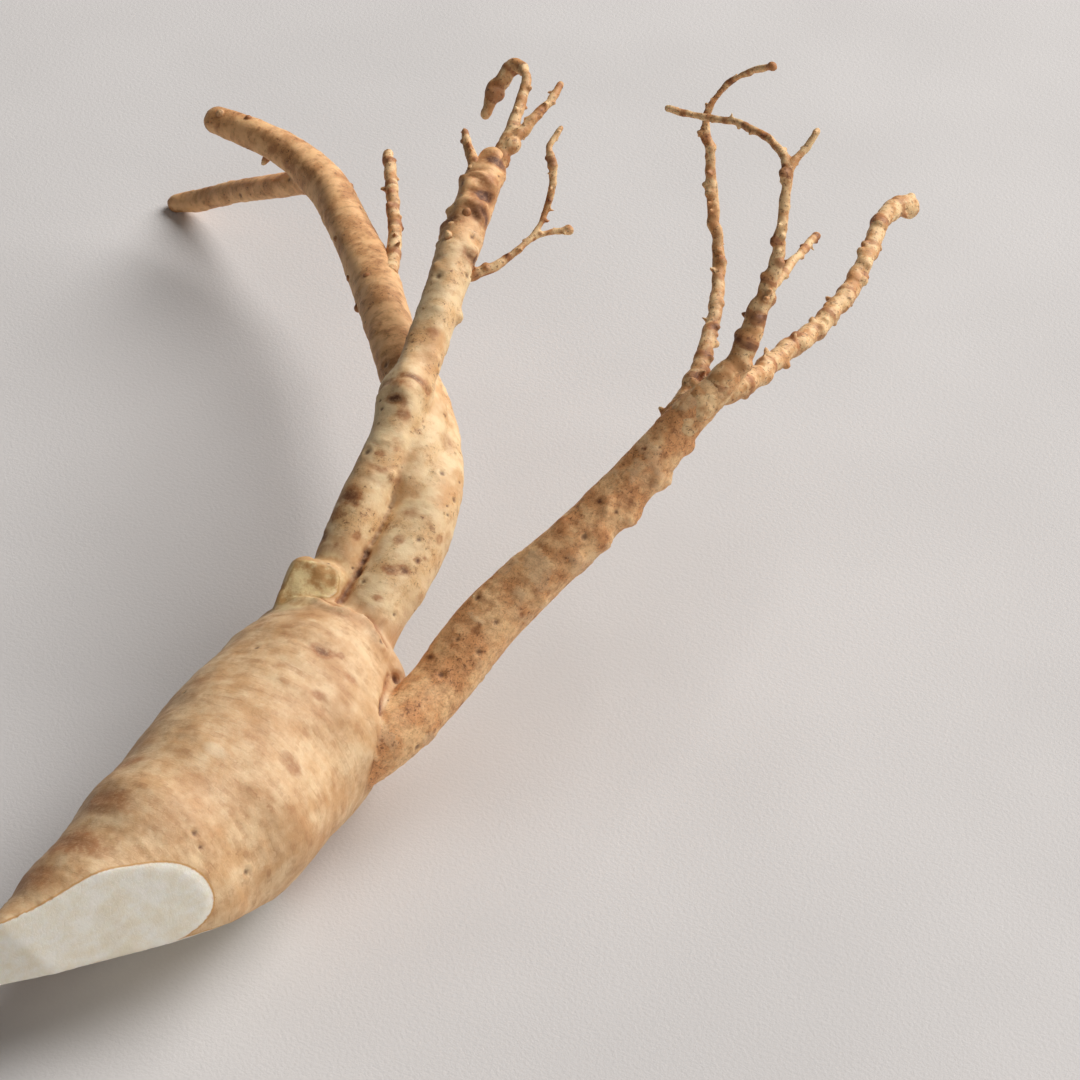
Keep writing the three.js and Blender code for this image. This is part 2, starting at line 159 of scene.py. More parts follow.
# Marks in the skin: [x, y, z, size, height, stretch across the limb, stain].
# A height under 0 is a pit. A stain above 0 is dark and under 0 is pale.
MARKS = [
    [-8.6, 59.8, 47.8, 0.9, -0.2, 2.1, 1], [-6, 58, 46.8, 1.3, 0, 1.2, 0.65],
    [-6.9, 64.4, 49.4, 0.9, 0, 3.4, 0.6],
    [-4.4, 47.9, 41.8, 0.8, 0, 3.4, 0.35],
    [-7.6, 42.1, 39.4, 1.9, -0.2, 1.3, 0.85], [-8.6, 39, 36.8, 1.6, 0, 1, 0.6],
    [-9.3, 35.5, 33.8, 1.6, 0, 1, 0.8], [-3.3, 36.8, 36, 0.8, -0.1, 1, 0.6],
    [-5.6, 33.6, 35.4, 0.6, -0.1, 1, 0.5], [-6.2, 50.5, 43, 0.8, 0, 1.4, 0.5],
    [-4.8, 52.6, 43.2, 0.7, 0, 1, 0.4], [-6, 40.6, 39.2, 0.7, 0, 1, 0.4],
    [3.2, 39.7, 35.8, 1.1, -0.1, 1, 0.65], [4.4, 34, 33.5, 0.8, -0.1, 2.2, 0.75],
    [6.8, 35.3, 33.1, 1, -0.15, 1.4, 0.85], [7.6, 38.4, 33.4, 0.6, -0.1, 1, 1],
    [8.8, 44.6, 34, 1, 0, 1, 0.5], [8.3, 40.1, 33.3, 0.5, 0, 1, 0.6],
    [5.3, 29, 31.1, 0.8, 0, 1.3, 0.55], [2.6, 45.1, 37.5, 1.6, 0, 1.3, 0.35],
    [0.2, 62.2, 39.9, 2.2, 0, 1.2, 0.35], [-0.5, 32.7, 31.8, 0.8, -0.2, 1, 0.8],
    [13.1, 20.6, 22.3, 1.3, -0.5, 1, 1], [18.4, 23.6, 27.5, 0.8, -0.1, 1, 0.9],
    [23.6, 29.2, 31.5, 0.8, -0.1, 1, 0.7], [29.3, 35.5, 32.5, 0.6, -0.1, 1, 0.7],
    [30.1, 48.9, 43.8, 1.1, 0.5, 1.2, 0.6], [34.9, 52.8, 47.1, 0.7, -0.1, 1, 0.9],
    [36.5, 49.3, 42.8, 1.3, 0.6, 1.1, 0.1], [39.6, 54.2, 43.4, 1.2, 0.5, 1.1, 0.1],
    [42.2, 60.4, 49, 1.1, 0.5, 1.1, 0.1],
    [5, 10, 33.4, 1.3, -0.15, 1.8, 0.8], [7.4, 12, 32.2, 0.8, -0.1, 1, 0.6],
    [10.8, 8.8, 30.6, 1.2, 0, 1.5, 0.4], [9.2, 1.5, 32.1, 1.1, 0, 1.5, 0.5],
    [12.2, -12.7, 29.7, 1.8, 0, 1.6, 0.4], [2, -20, 33.8, 1.4, 0.2, 2, -0.6],
    [-9, -36.5, 31.7, 3, 0, 2.4, 0.5], [-8.8, -46, 30.5, 3, 0, 2.4, 0.65],
    [-11.8, -54.2, 27.9, 3.2, 0, 2, 0.5], [-12.5, -26, 30.6, 2, 0, 2.6, 0.45],
    [-11, 93.7, 55, 1.4, -0.2, 3, 0.8], [-13.8, 102, 59.2, 1.7, -0.2, 2.4, 0.85],
    [-12.8, 97.6, 57.4, 1, 0.3, 3, -0.4], [-16.2, 108.2, 62.6, 1.3, 0.3, 2.6, 0.5],
    [-10.8, 80.5, 52.6, 0.8, 0.3, 3, -0.3], [-9.9, 76, 51.2, 0.9, 0, 1.6, 0.5],
    [-17, 113, 63.5, 1.3, -0.3, 2.4, 1.1], [-15.2, 105.3, 60.5, 1.2, -0.3, 2.2, 1.2],
    [-17.6, 98.6, 58, 1.2, -0.2, 2.4, 0.9], [-9.6, 62.6, 48.8, 1, 0, 2.6, 0.55],
]
# Seams, [strength, points], sunk in and darkened with painted shade: between the two roots of
# the trunk, where the side root leaves the body, and under the lip of the crown
SEAMS = [
    [0.3, [[-2.7, 50.4, 39.9], [-2.4, 46.3, 35.9], [-2.4, 43.3, 33.6], [-1.7, 37.8, 33.1]]],
    [0.8, [[-1.7, 37.8, 33.1], [-0.5, 32.7, 31.8], [-1, 29.9, 30], [-1.5, 27.6, 29],
            [-1.8, 25.4, 29.6]]],
    [0.8, [[12.4, 20.8, 23.8], [14.1, 15, 25], [15, 11.5, 25], [15.9, 9.3, 23.9]]],
    [0.45, [[-9.9, 23.4, 30.2], [-7.6, 24.6, 30.6], [-4.6, 24.6, 30.8], [-0.2, 23, 32],
            [2.7, 23.6, 31.4], [5, 25, 29.6], [8.5, 23.8, 28.4], [10.5, 23, 26.4]]],
]
# Raised rims across the roots and along the lip of the crown: [height, points]
# Each gets a painted highlight on its crest and a painted shadow beside it.
RIDGES = [
    [0.7, [[36.4, 54.7, 47.2], [36.3, 52.1, 45.2], [36.2, 50.1, 43.4]]],
    [0.7, [[40.4, 58.2, 48.5], [40, 56.1, 45.8], [39.6, 54.7, 43.6]]],
    [0.65, [[42.4, 63.5, 53.3], [42, 61.5, 50.7], [41.9, 60, 48.6]]],
    [0.4, [[30.1, 48.9, 43.8], [29.4, 46.5, 42], [28.9, 45.2, 40.8]]],
    [0.45, [[-8.4, 47.6, 40.6], [-6.6, 46.6, 42], [-4.4, 47, 41.2], [-3, 49.8, 40.6]]],
    [0.55, [[-12.2, 60.6, 45.4], [-10.4, 62, 48.2], [-8, 63, 49.4], [-5.8, 63.4, 48.6],
            [-4.2, 63.4, 46.6]]],
    [0.3, [[-10.8, 65.6, 49.6], [-7.4, 65.6, 50], [-5.2, 64.8, 48.4]]],
    [0.8, [[-18.5, 94.5, 54.5], [-14.5, 95.5, 58.3], [-11, 93.5, 55.5]]],
    [1.2, [[-21.5, 100.5, 57.5], [-16.5, 103, 61], [-12.8, 101, 58]]],
    [1.2, [[-22, 106.5, 60], [-17.5, 108.5, 63.6], [-14.3, 108, 60.5]]],
    [1.4, [[-9.9, 21.6, 30.7], [-7.6, 22.8, 30.8], [-4.6, 22.7, 30.9], [-0.2, 21, 32.5],
           [2.7, 21.9, 32.1], [5, 23.6, 30.2], [8.5, 22.3, 29.1], [10.5, 21.8, 27]]],
]
# Soft swellings of the body, [x, y, z, size, height]. A height under 0 is a hollow.
SWELLINGS = [
    [15.5, 6, 22, 8, 0.9], [17, -16, 18, 9, 0.7], [13, -4, 28, 5, -0.5],
]

# Knobs along the thin ends, [x, y, z, radius]
THIN_KNOBS = [
    [-16.8, 118.9, 63.2, 2.4], [-5.1, 112.2, 66.7, 1.3], [-8.5, 93.8, 54.4, 1.4],
    [1, 107.2, 57.8, 1.3], [-27, 132, 63.5, 2.5], [46.6, 82.5, 67.1, 1.8],
    [48.8, 79.1, 64.1, 2], [48.7, 88.1, 72, 1.8], [48.7, 91.6, 77.6, 1.2],
    [47.1, 93.5, 80.2, 1.5], [44.4, 101.5, 88.4, 1.5], [48.5, 84, 70.6, 1.4],
    [32.5, 104.7, 63.5, 1.2], [35.9, 97.1, 60.5, 1.2], [37.7, 91.6, 59.7, 1.2],
    [40.7, 81.5, 58.1, 1.2], [26.6, 111.4, 72.2, 1.4], [24.1, 116.2, 78.1, 1.4],
    [33.4, 119.2, 96.6, 1.2], [50.9, 98.5, 56.5, 2.3], [50.1, 99, 57.2, 1.4],
    [51.6, 105.5, 54.8, 2], [51.9, 116.8, 54.8, 1.7], [50.9, 127, 55.6, 1.8],
    [48.8, 138.3, 56.4, 2.1], [-18.7, 98.3, 57.2, 1.4], [-18.6, 106.3, 61.2, 1.6],
]

# The limbs, in the order of their seeds
LIMBS = {
    "body": BODY, "stub": STUB, "left": LEFT_ROOT, "right": RIGHT_ROOT, "web": TRUNK_WEB,
    "low": LOW_FORK, "high": HIGH_FORK, "side": SIDE_ROOT, "thorn": THORN, "inner": INNER_END,
    "outer": OUTER_END, "twig": STRAIGHT_TWIG, "top": TOP_FORK, "hook": HOOK, "prong": PRONG,
    "bit": LEFT_BIT, "fine": FINE_ROOT, "sprig": FINE_TWIG, "spur": SPUR,
}
LIMB_SEEDS = {name: k for k, name in enumerate(LIMBS, 1)}
# How far a limb's section strays from round, as a share of its radius
UNEVEN = {"body": 0.028, "stub": 0.03}
UNEVEN_LIMB = 0.05
# How far a limb's far end bulges, as a share of its radius there. Other ends are half balls.
END_BULGES = {"body": 6 / 15.2, "stub": 0.35}
LIMB_CUTS = {"body": ("slant", "under", "tip"), "stub": ("stub",)}

# The thick limbs are fused to one skin. The side root is in it up to a share of its length, and
# before that it narrows to a share of its radius, over a length in millimetres.
THICK = ["body", "stub", "left", "right", "web", "low", "side"]
THICK_UNTIL = {"side": 0.62}
NARROWED = 0.55
NARROWING_LENGTH = 5
# Each thin end starts at a share of its limb's length, mostly at 0.
THIN_STARTS = {"high": 0.24, "side": 0.52}
THIN = {name: THIN_STARTS.get(name, 0) for name in LIMBS
        if name in THIN_STARTS or name not in THICK}
# Thick limbs that carry small knobs from this share of their length on
KNOBBY = {"left": 0.74, "right": 0.55}

# Sizes of the meshes, in millimetres: the spacing of the sections and how many sides they have,
# the rows of a rounded end, the steps that a curve is measured in, and the quads of the skins
BODY_MESH = (1.1, 96)
LIMB_MESH = (0.9, 40)
CAP_ROWS = 6
CURVE_STEPS = 400
VOXEL = 0.55
THIN_VOXEL = 0.25
THIN_SPACING = 0.4
ROW_SPACING = 1


# Curves and tubes
def curve_points(spine, shares):
    """Points and radii of the smooth curve through a spine, at shares from 0 to 1."""
    rows = np.array(spine, float)
    pts, last = rows[:, :3], len(rows) - 1
    ends = np.vstack([2 * pts[0] - pts[1], pts, 2 * pts[-1] - pts[-2]])
    place = np.clip(shares, 0, 1) * last
    i = np.minimum(place.astype(int), last - 1)
    w = (place - i)[:, None]
    p0, p1, p2, p3 = ends[i], ends[i + 1], ends[i + 2], ends[i + 3]

    def gap(a, b):
        return np.sqrt(np.linalg.norm(a - b, axis=1))[:, None]

    d0, d1, d2 = gap(p0, p1), gap(p1, p2), gap(p2, p3)
    t1 = ((p1 - p0) / d0 - (p2 - p0) / (d0 + d1) + (p2 - p1) / d1) * d1
    t2 = ((p2 - p1) / d1 - (p3 - p1) / (d1 + d2) + (p3 - p2) / d2) * d1
    c2 = -3 * p1 + 3 * p2 - 2 * t1 - t2
    c3 = 2 * p1 - 2 * p2 + t1 + t2
    points = p1 + t1 * w + c2 * w ** 2 + c3 * w ** 3
    share = ease(w[:, 0], 0, 1)
    radii = rows[i, 3] * (1 - share) + rows[i + 1, 3] * share
    return points, radii


def draws(seed):
    """Repeatable random numbers from 0 to 1."""
    state = seed
    while True:
        state = (state * 1664525 + 1013904223) & 0xFFFFFFFF
        yield state / 4294967296


def unevenness(seed):
    """Smooth unevenness round and along a limb, about -1 to 1."""
    source = draws(SEED + seed)
    waves = []
    for _ in range(7):
        lobes = 1 + math.floor(next(source) * 4)
        along = (next(source) - 0.5) * 0.5
        phase = next(source) * math.pi * 2
        waves.append((lobes, along, phase, 0.25 + next(source) * 0.25))

    def bump(angle, length):
        total = 0
        for lobes, along, phase, size in waves:
            total = total + size * np.sin(lobes * angle + along * length + phase)
        return total
    return bump


def spine_frames(points):
    """Tangents and two side directions, carried along without twist."""
    tangents = np.gradient(points, axis=0)
    tangents /= np.linalg.norm(tangents, axis=1)[:, None]
    side = np.array([1.0, 0.0, 0.0])
    sides = []
    for t in tangents:
        side = side - t * side.dot(t)
        side = side / np.linalg.norm(side)
        sides.append(side)
    sides = np.array(sides)
    return tangents, sides, np.cross(tangents, sides)


def limb_samples(name, spacing):
    """Evenly spaced rows of a limb: centre, radius, frame, length so far and share."""
    fine_shares = np.linspace(0, 1, CURVE_STEPS)
    fine, _ = curve_points(LIMBS[name], fine_shares)
    steps = np.linalg.norm(np.diff(fine, axis=0), axis=1)
    lengths = np.concatenate([[0], np.cumsum(steps)])
    count = max(6, int(round(lengths[-1] / spacing)))
    even = np.linspace(0, lengths[-1], count + 1)
    shares = np.interp(even, lengths, fine_shares)
    points, radii = curve_points(LIMBS[name], shares)
    return points, radii, spine_frames(points), even, shares


def limb_mesh(name, spacing, sides):
    """Vertices and faces of one closed limb in millimetres."""
    points, radii, (tangents, side, up), lengths, shares = limb_samples(name, spacing)
    whole = lengths[-1]
    if name in THICK_UNTIL:
        left = THICK_UNTIL[name] * whole - lengths
        keep = left >= 0
        points, radii, shares = points[keep], radii[keep], shares[keep]
        tangents, side, up = tangents[keep], side[keep], up[keep]
        radii = radii * (NARROWED + (1 - NARROWED) * ease(left[keep], 0, NARROWING_LENGTH))
    bump = unevenness(LIMB_SEEDS[name])
    uneven = UNEVEN.get(name, UNEVEN_LIMB)
    bulge = END_BULGES.get(name, 1)
    angles = np.linspace(0, 2 * math.pi, sides, endpoint=False)
    turns = np.arange(1, CAP_ROWS) / CAP_ROWS * math.pi / 2

    def ring(i, push, wide):
        out = radii[i] * wide * (1 + uneven * bump(angles, shares[i] * whole))
        centre = points[i] + tangents[i] * push * radii[i]
        return (centre + np.cos(angles)[:, None] * out[:, None] * side[i]
                + np.sin(angles)[:, None] * out[:, None] * up[i])

    rings = [ring(0, -math.cos(a), math.sin(a)) for a in turns]
    rings += [ring(i, 0, 1) for i in range(len(points))]
    rings += [ring(-1, math.cos(a) * bulge, math.sin(a)) for a in turns[::-1]]
    start = points[0] - tangents[0] * radii[0]
    end = points[-1] + tangents[-1] * radii[-1] * bulge
    verts = np.vstack(rings + [start[None], end[None]])
    first, final = len(verts) - 2, len(verts) - 1
    top = first - sides
    around = [(s, (s + 1) % sides) for s in range(sides)]
    faces = [(row + s, row + n, row + sides + n, row + sides + s)
             for row in range(0, top, sides) for s, n in around]
    for s, n in around:
        faces.append((first, n, s))
        faces.append((final, top + s, top + n))
    return verts, faces


def slice_off(bm, cut):
    """Cuts a closed mesh with a knife plane and closes it with the flat cut face."""
    point, facing = CUTS[cut]
    geometry = bm.verts[:] + bm.edges[:] + bm.faces[:]
    made = bmesh.ops.bisect_plane(
        bm, geom=geometry, plane_co=Vector(point), plane_no=Vector(facing),
        clear_outer=True, dist=1e-6)
    edges = [e for e in made["geom_cut"] if isinstance(e, bmesh.types.BMEdge)]
    bmesh.ops.contextual_create(bm, geom=edges)


# Noise
def lattice(cells, seed):
    """A random number from -1 to 1 for each whole grid cell."""
    h = (cells[..., 0] * 374761393 + cells[..., 1] * 668265263
         + cells[..., 2] * 1274126177 + seed * 2246822519) & 0xFFFFFFFF
    h = ((h ^ (h >> 13)) * 1274126177) & 0xFFFFFFFF
    h = h ^ (h >> 16)
    return h / 2147483648.0 - 1.0


def grain(points, size, seed):
    """Smooth noise from -1 to 1 with lumps of about one size."""
    p = np.asarray(points, float) / size
    base = np.floor(p).astype(np.int64)
    f = p - base
    f = f * f * f * (f * (f * 6 - 15) + 10)
    total = np.zeros(len(p))
    for corner in np.ndindex(2, 2, 2):
        weight = np.abs(1 - np.array(corner) - f).prod(1)
        total += weight * lattice(base + np.array(corner), seed)
    return total


def layers(points, size, seed, count=2):
    """Noise in finer and finer layers."""
    total, scale, weight = 0, 1.0, 0.0
    for k in range(count):
        total = total + scale * grain(points, size / 2 ** k, seed + 31 * k)
        weight += scale
        scale *= 0.5
    return total / weight


def ease(value, low, high):
    """A smooth step from 0 at low to 1 at high."""
    t = np.clip((value - low) / (high - low), 0, 1)
    return t * t * (3 - 2 * t)


def bell(distance, width):
    """A smooth bump, 1 in the middle, that fades over about one width."""
    return np.exp(-(distance / width) ** 2)


# Meshes
def fused_skin():
    """All thick limbs, cut and joined with their knobs, as one skin."""
    bm = bmesh.new()
    for name in THICK:
        verts, faces = limb_mesh(name, *(BODY_MESH if name == "body" else LIMB_MESH))
        part = bmesh.new()
        made = [part.verts.new(v) for v in verts]
        for face in faces:
            part.faces.new([made[i] for i in face])
        bmesh.ops.recalc_face_normals(part, faces=part.faces)
        for cut in LIMB_CUTS.get(name, ()):
            slice_off(part, cut)
        bmesh.ops.recalc_face_normals(part, faces=part.faces)
        mesh = bpy.data.meshes.new("part")
        part.to_mesh(mesh)
        part.free()
        bm.from_mesh(mesh)
        bpy.data.meshes.remove(mesh)
    for x, y, z, radius in KNOBS:
        bmesh.ops.create_icosphere(
            bm, subdivisions=3, radius=radius, matrix=Matrix.Translation((x, y, z)))
    return fused(bm, VOXEL)


def linked(name, data):
    """A new object in the scene, at the origin."""
    made = bpy.data.objects.new(name, data)
    bpy.context.collection.objects.link(made)
    return made


def evaluated_mesh(holder):
    graph = bpy.context.evaluated_depsgraph_get()
    return bpy.data.meshes.new_from_object(holder.evaluated_get(graph))


def fused(bm, size):
    """One closed skin round everything in a mesh, with quads of one size."""
    mesh = bpy.data.meshes.new("fused")
    bm.to_mesh(mesh)
    bm.free()
    holder = linked("fused", mesh)
    remesh = holder.modifiers.new("skin", "REMESH")
    remesh.mode = "VOXEL"
    remesh.voxel_size = size
    remesh.adaptivity = 0
    done = evaluated_mesh(holder)
    bpy.data.objects.remove(holder)
    bpy.data.meshes.remove(mesh)
    return done


def smooth_object(name, mesh):
    """A smooth shaded object and its mesh, both under one name."""
    for polygon in mesh.polygons:
        polygon.use_smooth = True
    mesh.name = name
    return linked(name, mesh)


def kd_tree(points):
    tree = KDTree(len(points))
    for i, p in enumerate(points):
        tree.insert(p, i)
    tree.balance()
    return tree


def nearest(tree, points):
    """The index of the nearest entry for each point, and its distance."""
    found = [tree.find(p) for p in points]
    return np.array([f[1] for f in found]), np.array([f[2] for f in found])


def mesh_arrays(mesh):
    points = np.empty(len(mesh.vertices) * 3)
    mesh.vertices.foreach_get("co", points)
    edges = np.empty(len(mesh.edges) * 2, int)
    mesh.edges.foreach_get("vertices", edges)
    return points.reshape(-1, 3), edges.reshape(-1, 2)


def soften(points, edges, rounds, amount):
    """Evens out a mesh by moving each point towards the middle of its neighbours."""
    count = len(points)
    near = np.bincount(edges.ravel(), minlength=count).astype(float)[:, None]
    for _ in range(rounds):
        total = np.zeros_like(points)
        for k in range(3):
            total[:, k] = (np.bincount(edges[:, 0], points[edges[:, 1], k], count)
                           + np.bincount(edges[:, 1], points[edges[:, 0], k], count))
        points = points + (total / near - points) * amount
    return points


def soft_mask(mask, edges, rounds, amount=0.6):
    """A mask, or a share from 0 to 1, with its edge evened out."""
    values = np.stack([mask.astype(float)] * 3, 1)
    return soften(values, edges, rounds, amount)[:, 0]


def vertex_normals(mesh, points):
    mesh.vertices.foreach_set("co", points.ravel())
    mesh.update()
    normals = np.empty(len(mesh.vertices) * 3)
    mesh.vertices.foreach_get("normal", normals)
    return normals.reshape(-1, 3)


def inside_box(points):
    """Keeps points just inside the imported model's box."""
    low = np.array(cad_box[0]) / MM + EDGE_GAP
    high = np.array(cad_box[1]) / MM - EDGE_GAP
    return np.clip(points, low, high)


def put_points(mesh, points):
    """Gives a mesh its points, which come in millimetres."""
    mesh.vertices.foreach_set("co", (points * MM).ravel())
    mesh.update()


def add_attribute(mesh, name, values):
    """Stores a number or a vector for each point."""
    values = np.asarray(values, np.float32)
    kind, field = ("FLOAT", "value") if values.ndim == 1 else ("FLOAT_VECTOR", "vector")
    layer = mesh.attributes.new(name, kind, "POINT")
    layer.data.foreach_set(field, values.ravel())


def nearest_rows(points):
    """For each point: thick limb, length along it, angle round it, radius and direction."""
    best = np.full(len(points), 1e9)
    limb = np.zeros(len(points), int)
    along = np.zeros(len(points))
    angle = np.zeros(len(points))
    radius = np.ones(len(points))
    way = np.zeros((len(points), 3))
    for k, name in enumerate(THICK):
        centres, radii, (tangents, side, up), lengths, _ = limb_samples(name, ROW_SPACING)
        index, away = nearest(kd_tree(centres), points)
        away = away - radii[index]
        closer = away < best
        best = np.where(closer, away, best)
        rel = points - centres[index]
        turn = np.arctan2((rel * up[index]).sum(1), (rel * side[index]).sum(1))
        limb = np.where(closer, k, limb)
        along = np.where(closer, lengths[index], along)
        angle = np.where(closer, turn, angle)
        radius = np.where(closer, radii[index], radius)
        way = np.where(closer[:, None], tangents[index], way)
    return limb, along, angle, radius, way


# The skin of the thick limbs. Heights, sizes and widths are in millimetres.
LUMP_HEIGHT = 0.25
LUMP_SIZE = 7.0
BODY_WRINKLE = 0.10
LIMB_WRINKLE = 0.07
WRINKLE_STRETCH = np.array([6, 6, 1])
GRAIN_HEIGHT = 0.05
GRAIN_SIZE = 1.3
RING_GAP = 3.0
RING_WAVE = 2.6
SIDE_RINGS = 0.30
LEFT_RINGS = 0.20
LEFT_TOP_RINGS = 0.50
RIGHT_RINGS = 0.12
SCAR_COUNT = 150
SCAR_SIZES = (0.5, 1.5)
SCAR_RIM = 0.11
SCAR_PIT = 0.16
# How common scars are on the body, on the side root and on the other limbs
SCAR_SHARES = (0.25, 1.2, 1.0)
# A placed pit that is deeper than this gets a raised, pale rim.
DEEP_PIT = -0.3
# A skin point is on a cut when it faces the cut's way and lies this near to its plane.
CUT_FACING = (0.72, 0.93)
CUT_REACH = 0.6
CUT_BLEND = 0.25
# Along Y, where the stub's cut and its worn end begin and where its bare wood stops
STUB_CUT_START = 12
STUB_WORN_START = 23
STUB_BARE_STOP = 32.5
# Lengths along the left and the right root between which they turn warmer in colour,
# and where the rings at the left root's top rise
LEFT_WARM = (78, 98)
RIGHT_WARM = (48, 78)
LEFT_TOP = (76, 90)
# Points on each stretch of a line that is drawn down to the skin, and how far it is evened out
LINE_STEPS = 32
LINE_SPREAD = 12
EDGE_GAP = 0.01


def line_distance(points, tree, line):
    """Distance of each skin point from a line that is first drawn down to the skin."""
    line = np.array(line, float)
    steps = [np.linspace(a, b, LINE_STEPS) for a, b in zip(line[:-1], line[1:])]
    drawn = points[nearest(tree, np.vstack(steps))[0]]
    evened = [drawn[max(0, i - LINE_SPREAD):i + LINE_SPREAD + 1].mean(0)
              for i in range(len(drawn))]
    return nearest(kd_tree(evened), points)[1]


def limb_masks(limb):
    """Which points lie on each thick limb. The low fork counts as the right root too."""
    on = {name: limb == k for k, name in enumerate(THICK)}
    on["right"] = on["right"] | on["low"]
    return on


def cut_share(points, normals, edges, on):
    """How far each point lies on a flat knife cut, from 0 to 1."""
    share = np.zeros(len(points))
    for name, (point, facing) in CUTS.items():
        toward = np.array(facing) / np.linalg.norm(facing)
        depth = np.abs((points - np.array(point)) @ toward)
        flat = ease(normals @ toward, *CUT_FACING) * ease(CUT_REACH - depth, 0, CUT_BLEND)
        here = on["body"]
        if name == "stub":
            here = on["stub"] & (points[:, 1] > STUB_CUT_START)
        share = np.maximum(share, np.where(here, flat, 0))
    return soft_mask(share, edges, 3, 0.5)


def unrolled(angle, radius, along, stretch):
    """Places that follow a limb round and, drawn out, along it."""
    return np.stack([np.cos(angle) * radius, np.sin(angle) * radius, along * stretch], 1)


def grown_relief(points, normals, on, along, angle, radius):
    """Lumps, wrinkles and low raised rings across the roots, and where the rings are."""
    wrinkle = layers(unrolled(angle, radius, along, 2.6) / WRINKLE_STRETCH, 1.0, 5)
    relief = LUMP_HEIGHT * layers(points, LUMP_SIZE, 11) * np.clip(radius / 8, 0.4, 1.4)
    relief += np.where(on["body"], BODY_WRINKLE, LIMB_WRINKLE) * wrinkle
    relief += GRAIN_HEIGHT * layers(points, GRAIN_SIZE, 23)
    turned = np.stack([along, np.cos(angle) * RING_WAVE, np.sin(angle) * RING_WAVE], 1)
    band = ease(layers(turned, RING_GAP, 47), 0.12, 0.5)
    underneath = np.clip(0.7 - 0.5 * normals[:, 2], 0.3, 1)
    left = LEFT_RINGS + (LEFT_TOP_RINGS - LEFT_RINGS) * ease(along, *LEFT_TOP)
    relief += on["side"] * SIDE_RINGS * band * underneath
    relief += on["left"] * left * band
    relief += on["right"] * RIGHT_RINGS * band
    return relief, band


def scars(points, tree, weights):
    """Small sunk scars with a raised rim on seeded spots: their relief and their share."""
    relief = np.zeros(len(points))
    share = np.zeros(len(points))
    chance = weights / weights.sum()
    spots = np.random.default_rng(9).choice(len(points), SCAR_COUNT, replace=False, p=chance)
    sizes = np.random.default_rng(10).uniform(*SCAR_SIZES, SCAR_COUNT)
    for spot, size in zip(spots, sizes):
        for _, i, away in tree.find_range(points[spot], size * 1.8):
            s = away / size
            pit = math.exp(-s * s * 4)
            rim = math.exp(-((s - 0.9) ** 2) * 14)
            relief[i] += size * (SCAR_RIM * rim - SCAR_PIT * pit)
            share[i] = max(share[i], pit)
    return relief, share


def placed_marks(points, tree, way):
    """Relief and stain of the placed marks, whose edges are ragged."""
    relief = np.zeros(len(points))
    stain_and_shading = np.zeros(len(points))
    ragged = 1 + 0.25 * layers(points, 1.6, 90)
    for x, y, z, size, height, stretch, dark in MARKS:
        rel = points - points[tree.find((x, y, z))[1]]
        lengthwise = (rel * way).sum(1)
        across = np.sqrt(np.maximum((rel ** 2).sum(1) - lengthwise ** 2, 0))
        s = np.sqrt((lengthwise / size) ** 2 + (across / (size * stretch)) ** 2) * ragged
        relief += height * bell(s, 1)
        if height < DEEP_PIT:
            relief -= height * 0.45 * np.exp(-((s - 1.5) ** 2) * 7)
            stain_and_shading -= 0.35 * np.exp(-((s - 1.6) ** 2) * 7)
        stain_and_shading += dark * np.exp(-s ** 3)
    return relief, stain_and_shading


def placed_lines(points, tree):
    """Relief of the seams and the raised rims and their painted shade and highlights, both
    broken by noise.
    """
    relief = np.zeros(len(points))
    stain_and_shading = np.zeros(len(points))
    uneven = 1 + 0.3 * layers(points, 2.0, 95)
    broken = 1 + 0.7 * layers(points, 3.5, 97)
    for strength, line in SEAMS:
        away = line_distance(points, tree, line) * uneven
        relief -= (0.15 + 0.4 * strength) * bell(away, 0.65)
        # painted shade along the seam, darkest in the groove and fading out to the sides
        stain_and_shading += strength * broken * (0.75 * bell(away, 0.4) + 0.3 * bell(away, 1.2))
    uneven = 1 + 0.3 * layers(points, 1.5, 96)
    worn = np.clip(0.6 + 0.7 * layers(points, 2.6, 98), 0, 1.2)
    for height, line in RIDGES:
        away = line_distance(points, tree, line) * uneven
        relief += worn * height * (0.65 * bell(away, 0.6) + 0.2 * bell(away, 1.6))
        # a painted highlight on the crest and a painted shadow beside the rim
        stain_and_shading += worn * (0.35 * bell(away - 1.3, 0.6) - 0.2 * bell(away, 0.6))
    return relief, stain_and_shading


def swellings(points):
    relief = np.zeros(len(points))
    for x, y, z, size, height in SWELLINGS:
        relief += height * bell(np.linalg.norm(points - np.array([x, y, z]), axis=1), size)
    return relief


def cut_relief(points, normals, on, skin):
    """The slight unevenness of the knife cuts and the ragged end of the stub."""
    flesh = 1 - skin
    exposed = normals[:, 1] * 0.6 + normals[:, 2] * 0.4 + 0.35 * flesh
    torn = on["stub"] * ease(exposed, 0.3, 0.8)
    relief = flesh * 0.06 * layers(points, 3.0, 71)
    relief += torn * (0.65 * layers(points, 1.8, 73, 3) + 0.15)
    relief += on["stub"] * flesh * 0.3 * layers(points, 2.4, 77)
    return relief


